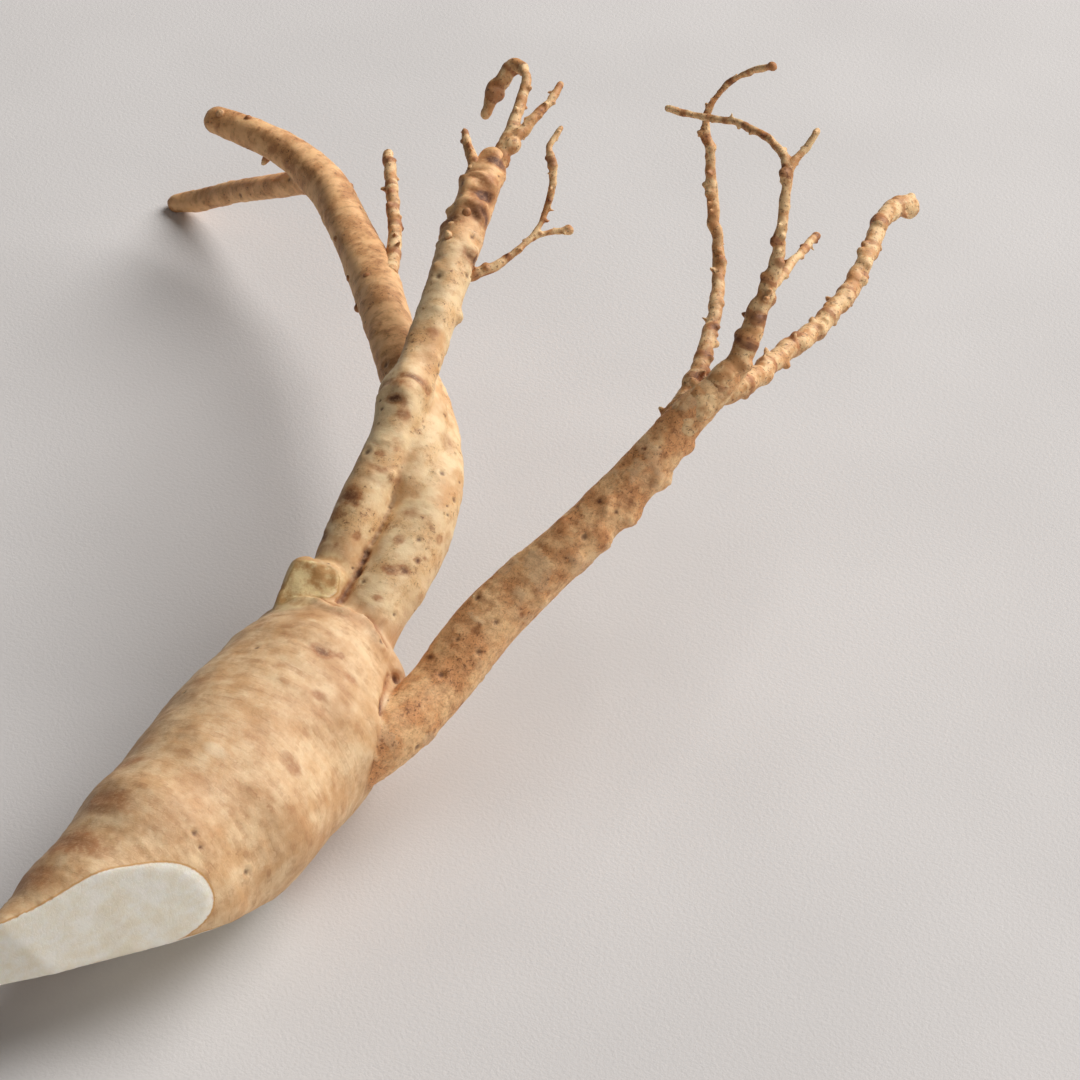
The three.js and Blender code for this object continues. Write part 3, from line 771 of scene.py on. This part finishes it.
def make_root():
    """The thick limbs as one skin, with attributes for what its material colours."""
    mesh = fused_skin()
    points, edges = mesh_arrays(mesh)
    points = soften(points, edges, 3, 0.5)
    limb, along, angle, radius, way = nearest_rows(points)
    on = limb_masks(limb)
    stump = soft_mask(on["stub"] & (points[:, 1] > STUB_WORN_START), edges, 4)[:, None]
    points = points * (1 - stump) + soften(points, edges, 14, 0.6) * stump
    normals = vertex_normals(mesh, points)
    skin = 1 - ease(cut_share(points, normals, edges, on), 0.2, 0.9)
    tree = kd_tree(points)

    relief, band = grown_relief(points, normals, on, along, angle, radius)
    body, side, other = SCAR_SHARES
    common = np.where(on["body"], body, np.where(on["side"], side, other))
    pits, scar = scars(points, tree, skin * common + 1e-9)
    marked, stain_and_shading = placed_marks(points, tree, way)
    lined, line_shading = placed_lines(points, tree)
    relief = (relief + pits + marked + lined + swellings(points)) * skin
    relief += cut_relief(points, normals, on, skin)
    points = points + normals * relief[:, None]
    points[:, 2] -= REST_DEPTH
    points = inside_box(points)
    put_points(mesh, points)

    # A fold is lower than its softened surroundings. How deep it is darkens the skin there as
    # painted shade in the creases.
    crease_shade = ((soften(points, edges, 14, 0.6) - points) * normals).sum(1)
    warm = on["right"] * ease(along, *RIGHT_WARM) + on["left"] * ease(along, *LEFT_WARM)
    warm = np.where(on["low"], 1, warm)
    bare = on["stub"] & (points[:, 1] < STUB_BARE_STOP)
    for name, values in (
        ("cut", 1 - skin),
        ("scar", scar),
        # the real stains of the marks, plus the painted shade and highlights of the seams and
        # rims
        ("stain_and_shading", stain_and_shading + line_shading),
        ("warm", soft_mask(warm, edges, 6)),
        # painted shade in the creases, darkest where the skin folds deepest
        ("crease_shade", crease_shade),
        ("band", band),
        ("pale", soft_mask(on["left"] | on["right"] | on["web"], edges, 8)),
        ("grey", soft_mask(on["side"], edges, 3)),
        ("stubby", soft_mask(bare, edges, 3)),
        ("wrap", unrolled(angle, radius, along, 2.4) * MM),
    ):
        add_attribute(mesh, name, values)
    return smooth_object("root_skin", mesh)


# Node trees
class Nodes:
    """Short helpers for one node tree."""

    def __init__(self, tree):
        self.tree = tree

    def add(self, kind, inputs=None, output=0, **settings):
        """Adds a node with its settings and inputs, and gives back one of its outputs."""
        node = self.tree.nodes.new(kind)
        for label, value in settings.items():
            setattr(node, label, value)
        for label, value in (inputs or {}).items():
            self.put(node.inputs[label], value)
        return node.outputs[output]

    def put(self, socket, value):
        if isinstance(value, bpy.types.NodeSocket):
            self.tree.links.new(value, socket)
        else:
            socket.default_value = value

    def math(self, operation, a, b):
        return self.add("ShaderNodeMath", {0: a, 1: b}, operation=operation)


class Growth(Nodes):
    """A geometry node tree with named inputs, whose result is one painted mesh."""

    def __init__(self, name, inputs, result):
        super().__init__(bpy.data.node_groups.new(name, "GeometryNodeTree"))
        face = self.tree.interface
        for label, kind, value in inputs:
            socket = face.new_socket(label, in_out="INPUT", socket_type="NodeSocket" + kind)
            if value is not None:
                socket.default_value = value
        face.new_socket(result, in_out="OUTPUT", socket_type="NodeSocketGeometry")
        self.given = self.tree.nodes.new("NodeGroupInput").outputs

    def roughened(self, shape, size, height):
        """Pushes a shape in and out along its normals, by noise of one size and height."""
        place = self.add("GeometryNodeInputPosition")
        scale = self.math("DIVIDE", 1.0, size)
        noise = self.add("ShaderNodeTexNoise", {"Vector": place, "Scale": scale})
        amount = self.math("MULTIPLY", self.math("SUBTRACT", noise, 0.5), height)
        normal = self.add("GeometryNodeInputNormal")
        push = self.add("ShaderNodeVectorMath", {0: normal, "Scale": amount}, operation="SCALE")
        return self.add("GeometryNodeSetPosition", {"Geometry": shape, "Offset": push})

    def end(self, shape):
        """Smooths, realizes and paints the shape, and gives back the finished tree."""
        smooth = self.add("GeometryNodeSetShadeSmooth", {"Geometry": shape})
        whole = self.add("GeometryNodeRealizeInstances", {0: smooth})
        skin = self.given["Skin"]
        paint = self.add("GeometryNodeSetMaterial", {"Geometry": whole, "Material": skin})
        self.put(self.tree.nodes.new("NodeGroupOutput").inputs[0], paint)
        return self.tree


def socket_id(tree, label):
    for item in tree.interface.items_tree:
        if item.item_type == "SOCKET" and item.in_out == "INPUT" and item.name == label:
            return item.identifier
    raise KeyError(label)


def grown(data, tree, values):
    """Runs a node tree on a mesh or a curve and gives back the plain mesh that it makes."""
    holder = linked(data.name, data)
    modifier = holder.modifiers.new("grow", "NODES")
    modifier.node_group = tree
    for label, value in values.items():
        modifier[socket_id(tree, label)] = value
    mesh = evaluated_mesh(holder)
    holder.modifiers.remove(modifier)
    bpy.data.objects.remove(holder)
    return mesh


# The thin ends: swept along their paths and set with knobs. Sizes are in millimetres.
KNOT_START = (1.5, 3.5)
KNOT_WIDTHS = (0.5, 1.1)
KNOT_STRENGTHS = (0.3, 1.0)
KNOT_GAPS = (3.5, 9.5)
KNOT_SWELLING = 0.08
# A path keeps this share of its radius where it is thinnest, and gains the other where thick.
THIN_SHARE = 0.76
THIN_GAIN = 0.17
WANDER = 0.22
PATH_SEED = 100
KNOB_START = (2, 4)
KNOB_STOP = 0.8
KNOB_GAPS = (0.45, 1.55)
KNOB_LEANS = (-0.1, 0.7)
KNOB_SIZES = (0.34, 0.9)
PLACED_KNOB_SHARE = 0.78
PLACED_KNOB_STRETCH = 0.9
# Shapes of seeded knobs: size as a share of the limb's radius, and stretch
SPIKE_SHAPE = ((0.24, 0.34), (2.0, 3.2))
BUMP_SHAPE = ((0.32, 0.55), (0.8, 1.3))
# How knobs sit: share of spikes, place on the radius, how far sunk, mean gap and least brown
ON_THIN = (0.4, 0.85, 0.2, 2.5, 0)
ON_THICK = (0.1, 1, 0.45, 5.5, 0.45)


def thin_path(name, start, seed):
    """Points, radii and swelling of a thin end, with swollen rings at uneven distances."""
    points, radii, _, lengths, _ = limb_samples(name, THIN_SPACING)
    keep = lengths >= start * lengths[-1]
    points, radii, lengths = points[keep], radii[keep], lengths[keep]
    rng = np.random.default_rng(seed)
    swell = np.zeros(len(points))
    place = lengths[0] + rng.uniform(*KNOT_START)
    while place < lengths[-1]:
        width = rng.uniform(*KNOT_WIDTHS)
        swell += rng.uniform(*KNOT_STRENGTHS) * bell(lengths - place, width)
        place += rng.uniform(*KNOT_GAPS)
    track = np.stack([lengths, 0 * lengths, 0 * lengths], 1)
    wander = np.stack([layers(track, 2.6, seed + k) for k in (1, 2, 3)], 1)
    left = lengths[-1] - lengths
    fade = ease(left, 0, 2.0) * ease(lengths - lengths[0], 0, 4.0)
    points = points + wander * (WANDER * radii * fade)[:, None]
    points[:, 2] -= REST_DEPTH
    radii = radii * (THIN_SHARE + THIN_GAIN * ease(radii, 0.9, 2.2) + KNOT_SWELLING * swell)
    tip = np.clip(left / np.maximum(radii, 0.4), 0, 1)
    radii = radii * np.sqrt(np.clip(1 - (1 - tip) ** 2, 0.04, 1))
    return points, radii, swell


def sweep_tree():
    """Geometry nodes that sweep a round section along each path and roughen it."""
    growth = Growth("sweep_rootlets", [
        ("Paths", "Geometry", None),
        ("Sides", "Int", 18),
        ("Roughness height", "Float", 0.16 * MM),
        ("Roughness size", "Float", 1.1 * MM),
        ("Skin", "Material", None),
    ], "Rootlets")
    given = growth.given
    section = growth.add("GeometryNodeCurvePrimitiveCircle", {
        "Resolution": given["Sides"], "Radius": 1.0})
    tube = growth.add("GeometryNodeCurveToMesh", {
        "Curve": given["Paths"], "Profile Curve": section,
        "Scale": growth.add("GeometryNodeInputRadius"), "Fill Caps": True})
    return growth.end(growth.roughened(
        tube, given["Roughness size"], given["Roughness height"]))


def knob_tree():
    """Geometry nodes that set one uneven knob on each point of a cloud."""
    growth = Growth("set_knobs", [
        ("Points", "Geometry", None),
        ("Fineness", "Int", 3),
        ("Unevenness", "Float", 0.45 * MM),
        ("Lump size", "Float", 1.3 * MM),
        ("Skin", "Material", None),
    ], "Knobs")
    given = growth.given
    ball = growth.add("GeometryNodeMeshIcoSphere", {
        "Radius": 1.0, "Subdivisions": given["Fineness"]})
    size, lean = [
        growth.add("GeometryNodeInputNamedAttribute", {"Name": name}, data_type="FLOAT_VECTOR")
        for name in ("size", "lean")]
    knobs = growth.add("GeometryNodeInstanceOnPoints", {
        "Points": growth.add("GeometryNodeMeshToPoints", {"Mesh": given["Points"]}),
        "Instance": ball,
        "Rotation": growth.add("FunctionNodeAlignRotationToVector", {"Vector": lean}, axis="Z"),
        "Scale": size})
    whole = growth.add("GeometryNodeRealizeInstances", {0: knobs})
    return growth.end(growth.roughened(whole, given["Lump size"], given["Unevenness"]))


def knob_cloud():
    """Placed and seeded knobs of the ends: places, sizes, leans, stretches and least browns."""
    rng = np.random.default_rng(SEED)
    rows = [((x, y, z), radius * PLACED_KNOB_SHARE, (0, 0, 1), PLACED_KNOB_STRETCH, 0)
            for x, y, z, radius in THIN_KNOBS]
    for name, start in {**THIN, **KNOBBY}.items():
        spikes, out_share, sunk, gap, brown = ON_THICK if name in KNOBBY else ON_THIN
        points, radii, (tangents, side, up), lengths, _ = limb_samples(name, THIN_SPACING)
        place = start * lengths[-1] + rng.uniform(*KNOB_START)
        while place < lengths[-1] - KNOB_STOP:
            i = int(np.searchsorted(lengths, place))
            turn = rng.uniform(0, 2 * math.pi)
            out = math.cos(turn) * side[i] + math.sin(turn) * up[i]
            sizes, stretches = SPIKE_SHAPE if rng.random() < spikes else BUMP_SHAPE
            size = np.clip(radii[i] * rng.uniform(*sizes), *KNOB_SIZES)
            stretch = rng.uniform(*stretches)
            lean = out + tangents[i] * rng.uniform(*KNOB_LEANS)
            centre = points[i] + out * (radii[i] * out_share - sunk * size)
            rows.append((centre, size, lean, stretch, brown))
            place += rng.uniform(*KNOB_GAPS) * gap
    knobs = [np.array(column) for column in zip(*rows)]
    knobs[0][:, 2] -= REST_DEPTH
    return knobs


def knob_mesh(knobs, skin):
    places, sizes, leans, stretches, _ = knobs
    cloud = bpy.data.meshes.new("knob_points")
    cloud.from_pydata((places * MM).tolist(), [], [])
    add_attribute(cloud, "size", np.stack([sizes, sizes, sizes * stretches], 1) * MM)
    add_attribute(cloud, "lean", leans)
    return grown(cloud, knob_tree(), {"Skin": skin})


def rootlet_tone(points, paths, knobs):
    """How brown each point is: more on the swollen rings and on some of the knobs."""
    places, sizes, _, _, browns = knobs
    swell = np.concatenate([path[2] for path in paths])
    centres = np.vstack([path[0] for path in paths])
    tone = swell[nearest(kd_tree(centres), points)[0]]
    tone = tone * np.clip(0.85 + 0.8 * layers(points, 2.4, 139), 0, 1.4)
    random = np.random.default_rng(SEED + 1).uniform(-0.4, 1.3, len(places))
    dark = random * (1 - browns) + browns
    index, away = nearest(kd_tree(places), points)
    return tone + dark[index] * bell(away, sizes[index] * 1.3)


def make_rootlets(skin):
    """The thin ends with their knobs as one skin, with an attribute for how brown they are."""
    curve = bpy.data.curves.new("rootlet_paths", "CURVE")
    curve.dimensions = "3D"
    paths = [thin_path(name, start, PATH_SEED + k)
             for k, (name, start) in enumerate(THIN.items())]
    for points, radii, _ in paths:
        spline = curve.splines.new("POLY")
        spline.points.add(len(points) - 1)
        spline.points.foreach_set("co", np.c_[points * MM, np.ones(len(points))].ravel())
        spline.points.foreach_set("radius", radii * MM)
    knobs = knob_cloud()
    both = bmesh.new()
    both.from_mesh(grown(curve, sweep_tree(), {"Skin": skin}))
    both.from_mesh(knob_mesh(knobs, skin))
    bmesh.ops.scale(both, vec=(1 / MM,) * 3, verts=both.verts)
    mesh = fused(both, THIN_VOXEL)
    points, edges = mesh_arrays(mesh)
    points = soften(points, edges, 3, 0.4)
    normals = vertex_normals(mesh, points)
    add_attribute(mesh, "swell", rootlet_tone(points, paths, knobs))
    rough = 0.08 * layers(points, 0.9, 131) + 0.16 * layers(points, 2.4, 137)
    put_points(mesh, inside_box(points + normals * rough[:, None]))
    mesh.materials.clear()
    mesh.materials.append(skin)
    return smooth_object("rootlets", mesh)


# Materials
# Noise patterns: size in millimetres, detail and roughness
SKIN_NOISES = {
    "mottle": (5.0, 4.0, 0.6), "patch": (11.0, 4.0, 0.62), "drift": (5.0, 4.0, 0.65),
    "speck": (0.8, 4.0, 0.65), "dust": (0.36, 3.0, 0.6), "crumb": (1.1, 5.0, 0.75),
    "soil": (1.7, 5.0, 0.7), "wood": (3.2, 5.0, 0.65),
}
# These two run along the limbs, and the last one along the cut flesh.
LIMB_NOISES = {"streak": (4.0, 5.0, 0.65), "thread": (1.3, 4.0, 0.65)}
FLESH_NOISES = {"fibre": (2.4, 4.0, 0.6)}
FLESH_STRETCH = (1.0, 0.35, 1.0)
ROOTLET_NOISES = {"mottle": (3.0, 3.0, 0.6), "speck": (0.6, 3.0, 0.6)}
PAPER_NOISES = {"cloud": (60.0, 2.0, 0.55), "tooth": (0.7, 4.0, 0.6)}
SKIN_PLACES = ("cut", "scar", "stain_and_shading", "warm", "crease_shade", "band", "pale", "grey", "stubby")

# Colours are red, green and blue from 0 to 255. A row of a layer list is a pattern, the values
# between which its colour comes in, how much of it there is at most, and the colour.
TAN = (238, 206, 162)
TAN_LAYERS = [
    ("mottle", 0.3, 0.72, 1, (214, 168, 118)),
    ("patch", 0.42, 0.75, 0.6, (190, 138, 90)),
    ("streak", 0.46, 0.72, 0.6, (176, 122, 76)),
    ("thread", 0.55, 0.75, 0.2, (160, 108, 68)),
    ("streak", 0.42, 0.25, 0.45, (240, 214, 172)),
]
CREAM = (244, 216, 170)
CREAM_LAYERS = [
    ("mottle", 0.36, 0.7, 1, (226, 184, 130)),
    ("patch", 0.46, 0.7, 0.8, (210, 156, 100)),
    ("streak", 0.5, 0.75, 0.5, (196, 142, 92)),
]
WARM_CREAM = (244, 190, 132)
WARM_LAYERS = [
    ("mottle", 0.42, 0.62, 0.6, (190, 128, 76)),
    ("streak", 0.46, 0.68, 0.5, (160, 102, 58)),
]
DRAB = (252, 206, 150)
DRAB_LAYERS = [
    ("mottle", 0.36, 0.62, 1, (228, 164, 106)),
    ("streak", 0.48, 0.7, 0.6, (176, 120, 74)),
    ("crumb", 0.45, 0.65, 0.38, (160, 102, 60)),
    ("dust", 0.52, 0.66, 0.3, (142, 84, 46)),
]
STUB_BARK = (234, 206, 156)
STUB_LAYERS = [("mottle", 0.4, 0.62, 1, (204, 160, 108))]
RING_LAYERS = [("band", 0.4, 0.95, 0.28, (236, 210, 170))]
SOIL_LAYERS = [
    ("soil", 0.52, 0.68, 0.75, (150, 94, 52)),
    ("speck", 0.58, 0.66, 0.85, (112, 64, 34)),
    ("dust", 0.56, 0.68, 0.5, (126, 76, 42)),
]
# Dark stains, and the painted shade along the seams and beside the rims
STAIN_AND_SHADE_LAYERS = [
    ("stain_and_shading", 0.05, 0.5, 0.75, (170, 108, 60)),
    ("stain_and_shading", 0.45, 1.0, 0.92, (88, 46, 24)),
]
# Pale marks and painted highlights on the rims, dark scars, and painted shade in the creases
MARK_AND_SHADE_LAYERS = [
    ("stain_and_shading", -0.1, -0.7, 0.55, (242, 222, 186)),
    ("scar", 0.25, 0.9, 0.75, (98, 60, 36)),
    ("crease_shade", 0.2, 0.95, 0.85, (92, 46, 24)),
]
FLESH = (255, 250, 238)
FLESH_LAYERS = [
    ("fibre", 0.35, 0.7, 1, (248, 238, 216)),
    ("patch", 0.45, 0.7, 0.35, (222, 206, 170)),
]
BARE_WOOD = (246, 222, 164)
WOOD_LAYERS = [("wood", 0.4, 0.62, 1, (206, 156, 94))]
CUT_RIM = (206, 156, 96)
STUB_RIM = (206, 168, 112)
ROOTLET = (240, 202, 150)
ROOTLET_LAYERS = [
    ("mottle", 0.38, 0.62, 1, (202, 146, 92)),
    ("swell", 0.15, 0.6, 0.8, (172, 110, 64)),
    ("swell", 0.6, 1.2, 0.8, (110, 62, 32)),
    ("speck", 0.56, 0.66, 0.65, (104, 60, 32)),
]
PAPER = (216, 213, 211)
PAPER_LAYERS = [("cloud", 0.3, 0.7, 1, (211, 208, 206))]
SKIN_DEPTH = {
    "Subsurface Weight": 0.12,
    "Subsurface Radius": (0.004, 0.0022, 0.0012),
    "Subsurface Scale": 0.5,
}
ROOTLET_DEPTH = {
    "Roughness": 0.62,
    "Subsurface Weight": 0.1,
    "Subsurface Radius": (0.003, 0.0016, 0.001),
    "Subsurface Scale": 0.4,
}


def srgb(r, g, b):
    """A colour from 0 to 255 as the linear colour that a shader takes."""
    def linear(v):
        v /= 255
        return v / 12.92 if v <= 0.04045 else ((v + 0.055) / 1.055) ** 2.4
    return (linear(r), linear(g), linear(b), 1.0)


class Look(Nodes):
    """A material and its patterns by name."""

    def __init__(self, name):
        self.material = bpy.data.materials.new(name)
        self.material.use_nodes = True
        super().__init__(self.material.node_tree)
        self.shader = self.tree.nodes["Principled BSDF"].inputs
        self.coords = self.add("ShaderNodeTexCoord", output="Object")
        self.patterns = {}

    def add_noises(self, noises, where=None):
        for name, (size, detail, rough) in noises.items():
            self.patterns[name] = self.add("ShaderNodeTexNoise", {
                "Vector": where or self.coords, "Scale": 1.0 / (size * MM),
                "Detail": detail, "Roughness": rough})

    def add_places(self, names):
        for name in names:
            self.patterns[name] = self.add(
                "ShaderNodeAttribute", output="Fac", attribute_name=name)

    def span(self, name, low, high, to_low=0.0, to_high=1.0):
        """A pattern's values between low and high, spread smoothly between two others."""
        inputs = {0: self.patterns[name], 1: low, 2: high, 3: to_low, 4: to_high}
        return self.add("ShaderNodeMapRange", inputs, interpolation_type="SMOOTHSTEP")

    def mix(self, share, a, b):
        return self.add("ShaderNodeMix", {0: share, 6: a, 7: b}, 2, data_type="RGBA")

    def cover(self, color, rows, mask=None):
        """Lays the colours of a layer list over a colour, inside a mask where one is given."""
        for name, low, high, most, tint in rows:
            share = self.span(name, low, high, 0, most)
            if mask:
                share = self.math("MULTIPLY", share, mask)
            color = self.mix(share, color, srgb(*tint))
        return color

    def finish(self, color, values, height, strength, distance):
        """Gives the shader its colour, its values and its fine bumps."""
        self.put(self.shader["Base Color"], color)
        for label, value in values.items():
            self.put(self.shader[label], value)
        bump = {"Strength": strength, "Distance": distance, "Height": height}
        self.put(self.shader["Normal"], self.add("ShaderNodeBump", bump))
        return self.material


def limb_colors(look):
    """Tan on the body, cream on the trunk, drab on the side root and bark on the stub."""
    here = look.patterns
    cream = look.cover(srgb(*CREAM), CREAM_LAYERS)
    cream = look.mix(look.math("MULTIPLY", here["warm"], 0.85), cream, srgb(*WARM_CREAM))
    cream = look.cover(cream, WARM_LAYERS, here["warm"])
    color = look.mix(here["pale"], look.cover(srgb(*TAN), TAN_LAYERS), cream)
    color = look.mix(here["grey"], color, look.cover(srgb(*DRAB), DRAB_LAYERS))
    color = look.mix(here["stubby"], color, look.cover(srgb(*STUB_BARK), STUB_LAYERS))
    return look.cover(color, RING_LAYERS, here["grey"])


def soiled(look, color):
    """Brown specks in drifts, most on the side root."""
    here = look.patterns
    here["soiling"] = look.math("ADD", here["grey"], look.math("MULTIPLY", here["pale"], 0.75))
    share = look.span("soiling", 0, 1, 0.12, 1.0)
    drift = look.span("drift", 0.42, 0.62)
    return look.cover(color, SOIL_LAYERS, look.math("MULTIPLY", drift, share))


def cut_faces(look, color):
    """Pale flesh with a rim on the knife cuts, and bare wood on the stub's."""
    stubby = look.patterns["stubby"]
    flesh = look.cover(srgb(*FLESH), FLESH_LAYERS)
    wood = look.cover(srgb(*BARE_WOOD), WOOD_LAYERS)
    flesh = look.mix(look.math("MULTIPLY", stubby, 0.97), flesh, wood)
    rim = look.mix(stubby, srgb(*CUT_RIM), srgb(*STUB_RIM))
    color = look.mix(look.span("cut", 0.05, 0.4), color, rim)
    return look.mix(look.span("cut", 0.5, 0.95), color, flesh)


def skin_material():
    look = Look("root_skin")
    look.add_places(SKIN_PLACES)
    look.add_noises(SKIN_NOISES)
    wrap = look.add("ShaderNodeAttribute", output="Vector", attribute_name="wrap")
    look.add_noises(LIMB_NOISES, wrap)
    drawn_out = look.add("ShaderNodeMapping", {"Scale": FLESH_STRETCH, "Vector": look.coords})
    look.add_noises(FLESH_NOISES, drawn_out)
    color = soiled(look, limb_colors(look))
    # dark stains, and painted shade along the seams and beside the rims
    color = look.cover(color, STAIN_AND_SHADE_LAYERS, look.span("speck", 0.3, 0.58, 0.5, 1.0))
    # pale marks and painted highlights, dark scars, and painted shade in the creases
    color = look.cover(color, MARK_AND_SHADE_LAYERS)
    color = cut_faces(look, color)
    speck, dust, thread = [
        look.math("MULTIPLY", look.patterns[name], share)
        for name, share in (("speck", 0.5), ("dust", 0.3), ("thread", 0.5))]
    rough = look.math("ADD", look.math("ADD", speck, dust), thread)
    gloss = {"Roughness": look.span("cut", 0.3, 0.9, 0.62, 0.5), **SKIN_DEPTH}
    return look.finish(color, gloss, rough, 0.4, 0.3 * MM)


def rootlet_material():
    look = Look("rootlet_skin")
    look.add_places(["swell"])
    look.add_noises(ROOTLET_NOISES)
    color = look.cover(srgb(*ROOTLET), ROOTLET_LAYERS)
    return look.finish(color, ROOTLET_DEPTH, look.patterns["speck"], 0.3, 0.2 * MM)


def paper_material():
    look = Look("pale_paper")
    look.add_noises(PAPER_NOISES)
    color = look.cover(srgb(*PAPER), PAPER_LAYERS)
    return look.finish(color, {"Roughness": 0.85}, look.patterns["tooth"], 0.4, 0.25 * MM)


# Stage, light and camera
PAPER_REACH = 2.5
MIDDLE = Vector((-0.01, 0.03, 0.02))
# Way from the middle to each light, distance, size, power and colour
LIGHTS = {
    "window": ((0.35, 0.67, 0.655), 3.0, 2.5, 120, (1.0, 0.98, 0.97)),
    "room": ((0.73, -0.50, 0.47), 1.5, 1.0, 5.0, (1.0, 0.955, 0.91)),
}
WORLD_COLOR = (1.0, 0.97, 0.94, 1)
WORLD_STRENGTH = 0.06
# The camera stands at the photograph's angle.
EYE = Vector((0.2631, -0.4374, 0.4909))
AIM = Vector((0.02803, 0.04449, 0.04093))
LENS = 137.25
SENSOR = 36
CAMERA_TILT = math.radians(1.9)
CLIP_START = 0.01
CLIP_END = 20


def make_paper():
    mesh = bpy.data.meshes.new("paper")
    corners = [(-1, -1, 0), (1, -1, 0), (1, 1, 0), (-1, 1, 0)]
    mesh.from_pydata([Vector(c) * PAPER_REACH for c in corners], [], [(0, 1, 2, 3)])
    mesh.materials.append(paper_material())
    return linked("paper", mesh)


def area_light(name, way, distance, size, power, color):
    """A round lamp that shines on the middle of the object."""
    data = bpy.data.lights.new(name, "AREA")
    data.shape = "DISK"
    data.size = size
    data.energy = power
    data.color = color
    lamp = linked(name, data)
    away = Vector(way).normalized() * distance
    lamp.location = MIDDLE + away
    lamp.rotation_euler = (-away).to_track_quat("-Z", "Y").to_euler()


def light_scene():
    for name, values in LIGHTS.items():
        area_light(name, *values)
    world = bpy.data.worlds.new("room")
    world.use_nodes = True
    background = world.node_tree.nodes["Background"].inputs
    background["Color"].default_value = WORLD_COLOR
    background["Strength"].default_value = WORLD_STRENGTH
    bpy.context.scene.world = world
    bpy.context.scene.view_settings.view_transform = "Standard"


def set_camera():
    forward = (AIM - EYE).normalized()
    level = forward.cross(Vector((0, 0, 1))).normalized()
    right = level * math.cos(CAMERA_TILT) + level.cross(forward) * math.sin(CAMERA_TILT)
    turn = Matrix((right, right.cross(forward), -forward)).transposed()
    data = bpy.data.cameras.new("camera")
    data.lens = LENS
    data.sensor_width = SENSOR
    data.dof.use_dof = False
    data.clip_start = CLIP_START
    data.clip_end = CLIP_END
    camera = linked("camera", data)
    camera.matrix_world = Matrix.Translation(EYE) @ turn.to_4x4()
    bpy.context.scene.camera = camera


# Build
root = make_root()
root.data.materials.append(skin_material())
rootlets = make_rootlets(rootlet_material())
for piece in (root, rootlets):
    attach(piece, "root")
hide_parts(NODE)
floor = make_paper()
light_scene()
set_camera()
